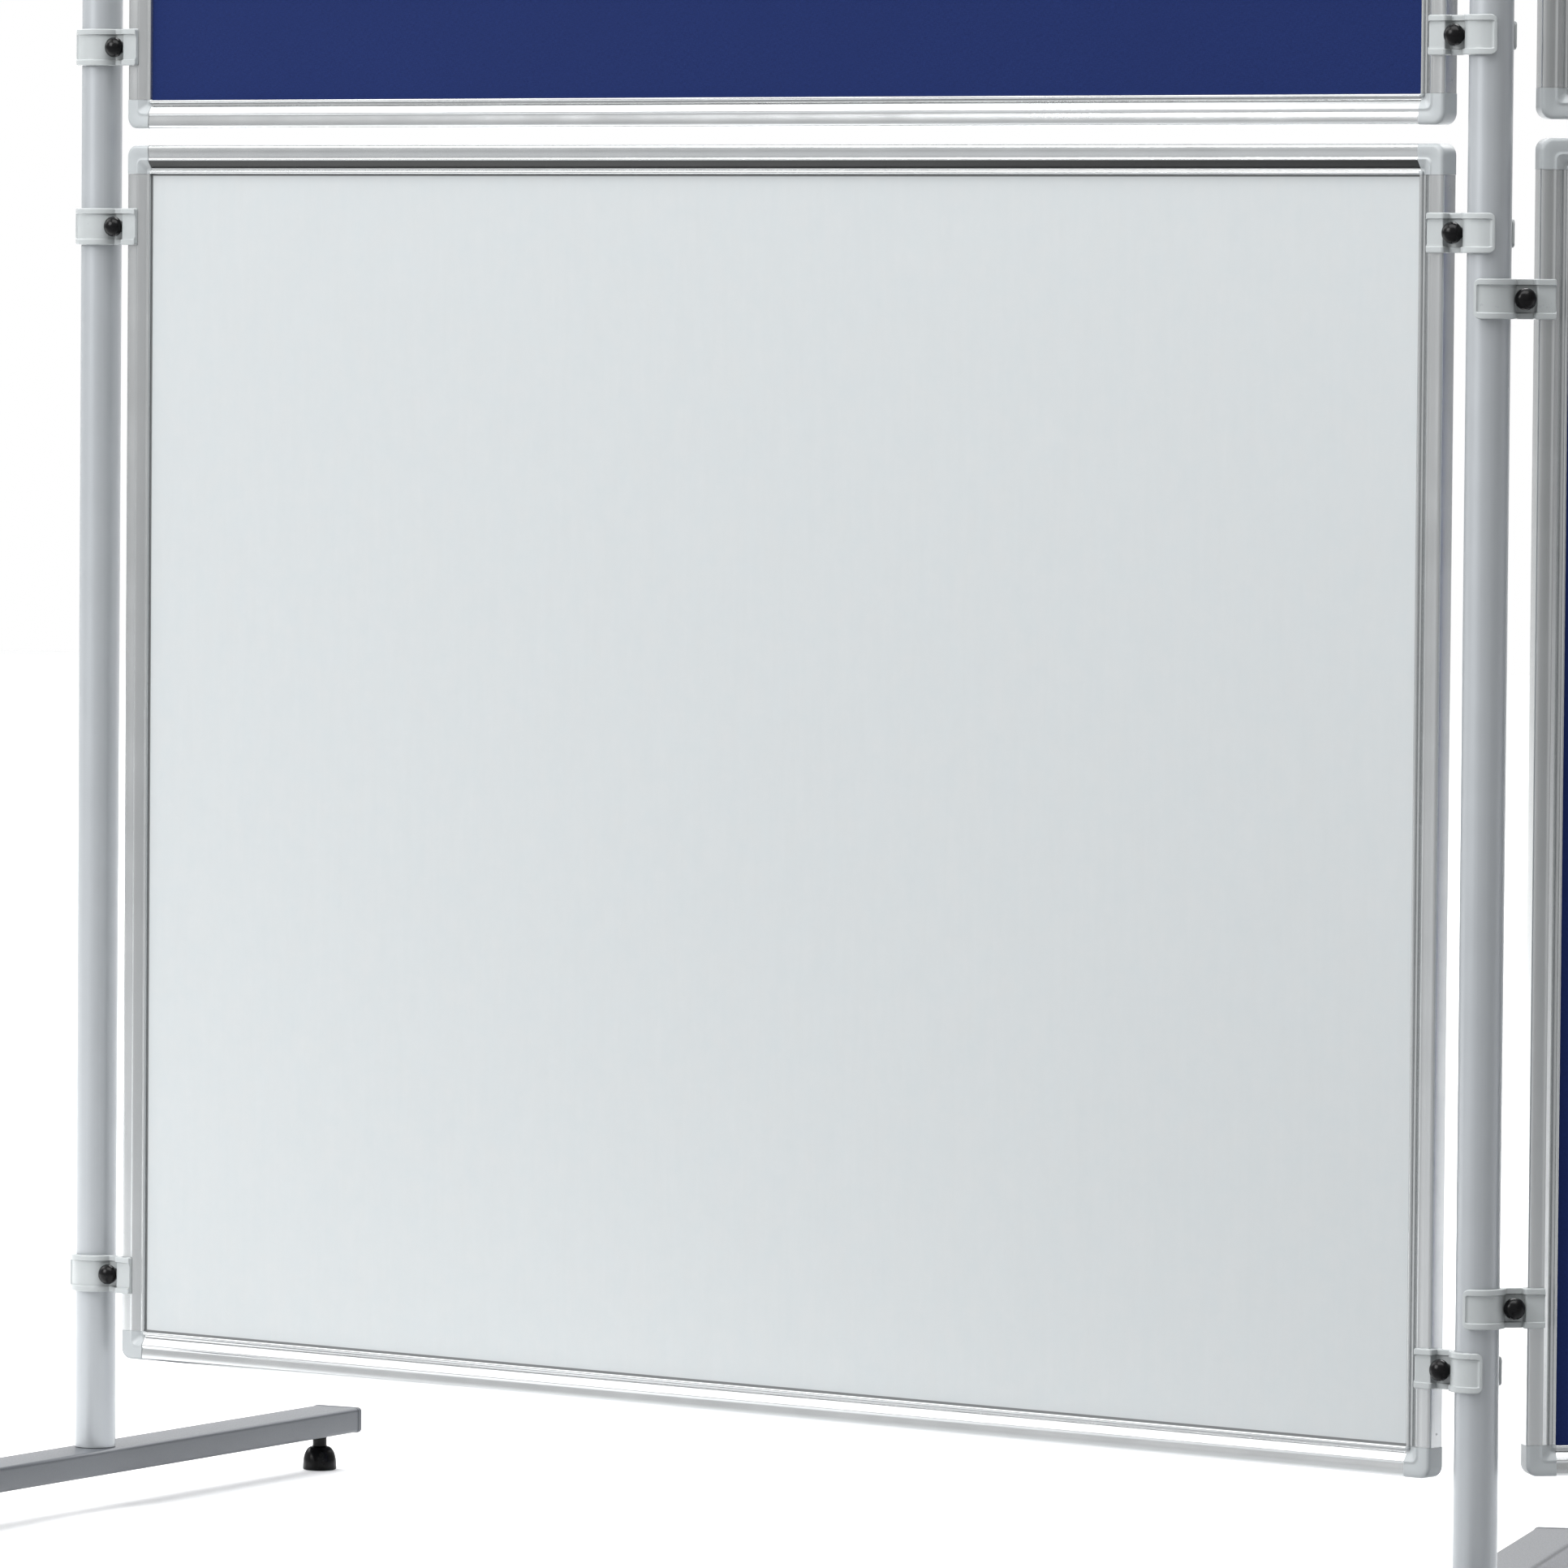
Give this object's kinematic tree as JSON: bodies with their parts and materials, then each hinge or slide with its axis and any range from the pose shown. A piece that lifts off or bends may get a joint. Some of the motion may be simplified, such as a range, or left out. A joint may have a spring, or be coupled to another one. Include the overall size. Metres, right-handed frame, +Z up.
{
  "type": "partition wall",
  "caption": "Free-standing exhibition partition wall: framed panels in screw clamps on round posts, each post on a flat foot beam with levelling glides.",
  "frame": {"origin": "middle of the footprint, on the floor", "axes": "+Z up, +X along the wall to the right seen from the front, -Y to the front, where the middle post stands"},
  "size_m": [2.508, 1.2425, 1.98],
  "materials": {
    "post_aluminium": "satin anodised",
    "cap_plastic": "matte grey",
    "bolt_steel": "zinc plated",
    "foot_metal": "silver grey powder coat",
    "foot_cap_plastic": "matte grey",
    "black_plastic": "satin black",
    "frame_aluminium": "satin anodised",
    "corner_plastic": "matte light grey",
    "grey_board": "matte light grey laminate",
    "core_board": "plain fibreboard",
    "blue_felt": "needle felt",
    "clamp_plastic": "matte light grey"
  },
  "bodies": {
    "middle_post": {"middle_post_tube": "post_aluminium", "middle_post_cap": "cap_plastic", "middle_foot_bolt": "bolt_steel"},
    "middle_foot": {"middle_foot_beam": "foot_metal", "middle_foot_caps": "foot_cap_plastic"},
    "middle_front_glide": {"middle_front_glide": "black_plastic"},
    "middle_rear_glide": {"middle_rear_glide": "black_plastic"},
    "left_post": {"left_post_tube": "post_aluminium", "left_post_cap": "cap_plastic", "left_foot_bolt": "bolt_steel"},
    "left_foot": {"left_foot_beam": "foot_metal", "left_foot_caps": "foot_cap_plastic"},
    "left_front_glide": {"left_front_glide": "black_plastic"},
    "left_rear_glide": {"left_rear_glide": "black_plastic"},
    "right_post": {"right_post_tube": "post_aluminium", "right_post_cap": "cap_plastic", "right_foot_bolt": "bolt_steel"},
    "right_foot": {"right_foot_beam": "foot_metal", "right_foot_caps": "foot_cap_plastic"},
    "right_front_glide": {"right_front_glide": "black_plastic"},
    "right_rear_glide": {"right_rear_glide": "black_plastic"},
    "left_lower_panel": {"left_lower_frame": "frame_aluminium", "left_lower_corners": "corner_plastic", "left_lower_core": "grey_board", "left_lower_front_jaws": "clamp_plastic", "left_lower_rear_jaws": "clamp_plastic"},
    "knob_left_lower_bottom_inner": {"knob_left_lower_bottom_inner": "black_plastic"},
    "knob_left_lower_bottom_outer": {"knob_left_lower_bottom_outer": "black_plastic"},
    "knob_left_lower_top_inner": {"knob_left_lower_top_inner": "black_plastic"},
    "knob_left_lower_top_outer": {"knob_left_lower_top_outer": "black_plastic"},
    "left_upper_panel": {"left_upper_frame": "frame_aluminium", "left_upper_corners": "corner_plastic", "left_upper_core": "core_board", "left_upper_felt": "blue_felt", "left_upper_front_jaws": "clamp_plastic", "left_upper_rear_jaws": "clamp_plastic"},
    "knob_left_upper_bottom_inner": {"knob_left_upper_bottom_inner": "black_plastic"},
    "knob_left_upper_bottom_outer": {"knob_left_upper_bottom_outer": "black_plastic"},
    "knob_left_upper_top_inner": {"knob_left_upper_top_inner": "black_plastic"},
    "knob_left_upper_top_outer": {"knob_left_upper_top_outer": "black_plastic"},
    "right_lower_panel": {"right_lower_frame": "frame_aluminium", "right_lower_corners": "corner_plastic", "right_lower_core": "core_board", "right_lower_felt": "blue_felt", "right_lower_front_jaws": "clamp_plastic", "right_lower_rear_jaws": "clamp_plastic"},
    "knob_right_lower_bottom_inner": {"knob_right_lower_bottom_inner": "black_plastic"},
    "knob_right_lower_bottom_outer": {"knob_right_lower_bottom_outer": "black_plastic"},
    "knob_right_lower_top_inner": {"knob_right_lower_top_inner": "black_plastic"},
    "knob_right_lower_top_outer": {"knob_right_lower_top_outer": "black_plastic"},
    "right_upper_panel": {"right_upper_frame": "frame_aluminium", "right_upper_corners": "corner_plastic", "right_upper_core": "core_board", "right_upper_felt": "blue_felt", "right_upper_front_jaws": "clamp_plastic", "right_upper_rear_jaws": "clamp_plastic"},
    "knob_right_upper_bottom_inner": {"knob_right_upper_bottom_inner": "black_plastic"},
    "knob_right_upper_bottom_outer": {"knob_right_upper_bottom_outer": "black_plastic"},
    "knob_right_upper_top_inner": {"knob_right_upper_top_inner": "black_plastic"},
    "knob_right_upper_top_outer": {"knob_right_upper_top_outer": "black_plastic"}
  },
  "joints": [
    {"name": "left_bay_swing", "type": "hinge", "parent": "middle_post", "child": "left_post", "pos_m": [0, -0.26917, 0], "axis": [0, 0, 1], "range_deg": [-30, 60]},
    {"name": "right_bay_swing", "type": "hinge", "parent": "middle_post", "child": "right_post", "pos_m": [0, -0.26917, 0], "axis": [0, 0, 1], "range_deg": [-60, 30]},
    {"name": "left_foot_turn", "type": "hinge", "parent": "left_post", "child": "left_foot", "pos_m": [-1.14267, 0.27586, 0.0465], "axis": [0, 0, 1], "range_deg": [-90, 90]},
    {"name": "left_front_glide_level", "type": "slide", "parent": "left_foot", "child": "left_front_glide", "axis": [0, 0, 1], "range_m": [-0.01, 0.002]},
    {"name": "left_rear_glide_level", "type": "slide", "parent": "left_foot", "child": "left_rear_glide", "axis": [0, 0, 1], "range_m": [-0.01, 0.002]},
    {"name": "middle_foot_turn", "type": "hinge", "parent": "middle_post", "child": "middle_foot", "pos_m": [0, -0.26917, 0.0465], "axis": [0, 0, 1], "range_deg": [-90, 90]},
    {"name": "middle_front_glide_level", "type": "slide", "parent": "middle_foot", "child": "middle_front_glide", "axis": [0, 0, 1], "range_m": [-0.01, 0.002]},
    {"name": "middle_rear_glide_level", "type": "slide", "parent": "middle_foot", "child": "middle_rear_glide", "axis": [0, 0, 1], "range_m": [-0.01, 0.002]},
    {"name": "right_foot_turn", "type": "hinge", "parent": "right_post", "child": "right_foot", "pos_m": [1.14267, 0.27586, 0.0465], "axis": [0, 0, 1], "range_deg": [-90, 90]},
    {"name": "right_front_glide_level", "type": "slide", "parent": "right_foot", "child": "right_front_glide", "axis": [0, 0, 1], "range_m": [-0.01, 0.002]},
    {"name": "right_rear_glide_level", "type": "slide", "parent": "right_foot", "child": "right_rear_glide", "axis": [0, 0, 1], "range_m": [-0.01, 0.002]},
    {"name": "left_lower_panel_height", "type": "slide", "parent": "left_post", "child": "left_lower_panel", "axis": [0, 0, 1], "range_m": [-0.004, 0.006]},
    {"name": "knob_left_lower_bottom_inner_turn", "type": "hinge", "parent": "left_lower_panel", "child": "knob_left_lower_bottom_inner", "pos_m": [-0.02892, -0.27753, 0.1905], "axis": [-0.4305, -0.9026, 0], "range_deg": [-360, 0]},
    {"name": "knob_left_lower_bottom_outer_turn", "type": "hinge", "parent": "left_lower_panel", "child": "knob_left_lower_bottom_outer", "pos_m": [-1.13098, 0.24812, 0.1775], "axis": [-0.4305, -0.9026, 0], "range_deg": [-360, 0]},
    {"name": "knob_left_lower_top_inner_turn", "type": "hinge", "parent": "left_lower_panel", "child": "knob_left_lower_top_inner", "pos_m": [-0.02892, -0.27753, 0.9555], "axis": [-0.4305, -0.9026, 0], "range_deg": [-360, 0]},
    {"name": "knob_left_lower_top_outer_turn", "type": "hinge", "parent": "left_lower_panel", "child": "knob_left_lower_top_outer", "pos_m": [-1.13098, 0.24812, 0.9555], "axis": [-0.4305, -0.9026, 0], "range_deg": [-360, 0]},
    {"name": "left_upper_panel_height", "type": "slide", "parent": "left_post", "child": "left_upper_panel", "axis": [0, 0, 1], "range_m": [-0.004, 0.01]},
    {"name": "knob_left_upper_bottom_inner_turn", "type": "hinge", "parent": "left_upper_panel", "child": "knob_left_upper_bottom_inner", "pos_m": [-0.02892, -0.27753, 1.088], "axis": [-0.4305, -0.9026, 0], "range_deg": [-360, 0]},
    {"name": "knob_left_upper_bottom_outer_turn", "type": "hinge", "parent": "left_upper_panel", "child": "knob_left_upper_bottom_outer", "pos_m": [-1.13098, 0.24812, 1.088], "axis": [-0.4305, -0.9026, 0], "range_deg": [-360, 0]},
    {"name": "knob_left_upper_top_inner_turn", "type": "hinge", "parent": "left_upper_panel", "child": "knob_left_upper_top_inner", "pos_m": [-0.02892, -0.27753, 1.868], "axis": [-0.4305, -0.9026, 0], "range_deg": [-360, 0]},
    {"name": "knob_left_upper_top_outer_turn", "type": "hinge", "parent": "left_upper_panel", "child": "knob_left_upper_top_outer", "pos_m": [-1.13098, 0.24812, 1.868], "axis": [-0.4305, -0.9026, 0], "range_deg": [-360, 0]},
    {"name": "right_lower_panel_height", "type": "slide", "parent": "right_post", "child": "right_lower_panel", "axis": [0, 0, 1], "range_m": [-0.004, 0.006]},
    {"name": "knob_right_lower_bottom_inner_turn", "type": "hinge", "parent": "right_lower_panel", "child": "knob_right_lower_bottom_inner", "pos_m": [0.02892, -0.27753, 0.2335], "axis": [0.4305, -0.9026, 0], "range_deg": [-360, 0]},
    {"name": "knob_right_lower_bottom_outer_turn", "type": "hinge", "parent": "right_lower_panel", "child": "knob_right_lower_bottom_outer", "pos_m": [1.13098, 0.24812, 0.2335], "axis": [0.4305, -0.9026, 0], "range_deg": [-360, 0]},
    {"name": "knob_right_lower_top_inner_turn", "type": "hinge", "parent": "right_lower_panel", "child": "knob_right_lower_top_inner", "pos_m": [0.02892, -0.27753, 0.9115], "axis": [0.4305, -0.9026, 0], "range_deg": [-360, 0]},
    {"name": "knob_right_lower_top_outer_turn", "type": "hinge", "parent": "right_lower_panel", "child": "knob_right_lower_top_outer", "pos_m": [1.13098, 0.24812, 0.9115], "axis": [0.4305, -0.9026, 0], "range_deg": [-360, 0]},
    {"name": "right_upper_panel_height", "type": "slide", "parent": "right_post", "child": "right_upper_panel", "axis": [0, 0, 1], "range_m": [-0.004, 0.01]},
    {"name": "knob_right_upper_bottom_inner_turn", "type": "hinge", "parent": "right_upper_panel", "child": "knob_right_upper_bottom_inner", "pos_m": [0.02892, -0.27753, 1.146], "axis": [0.4305, -0.9026, 0], "range_deg": [-360, 0]},
    {"name": "knob_right_upper_bottom_outer_turn", "type": "hinge", "parent": "right_upper_panel", "child": "knob_right_upper_bottom_outer", "pos_m": [1.13098, 0.24812, 1.146], "axis": [0.4305, -0.9026, 0], "range_deg": [-360, 0]},
    {"name": "knob_right_upper_top_inner_turn", "type": "hinge", "parent": "right_upper_panel", "child": "knob_right_upper_top_inner", "pos_m": [0.02892, -0.27753, 1.824], "axis": [0.4305, -0.9026, 0], "range_deg": [-360, 0]},
    {"name": "knob_right_upper_top_outer_turn", "type": "hinge", "parent": "right_upper_panel", "child": "knob_right_upper_top_outer", "pos_m": [1.13098, 0.24812, 1.824], "axis": [0.4305, -0.9026, 0], "range_deg": [-360, 0]}
  ]
}
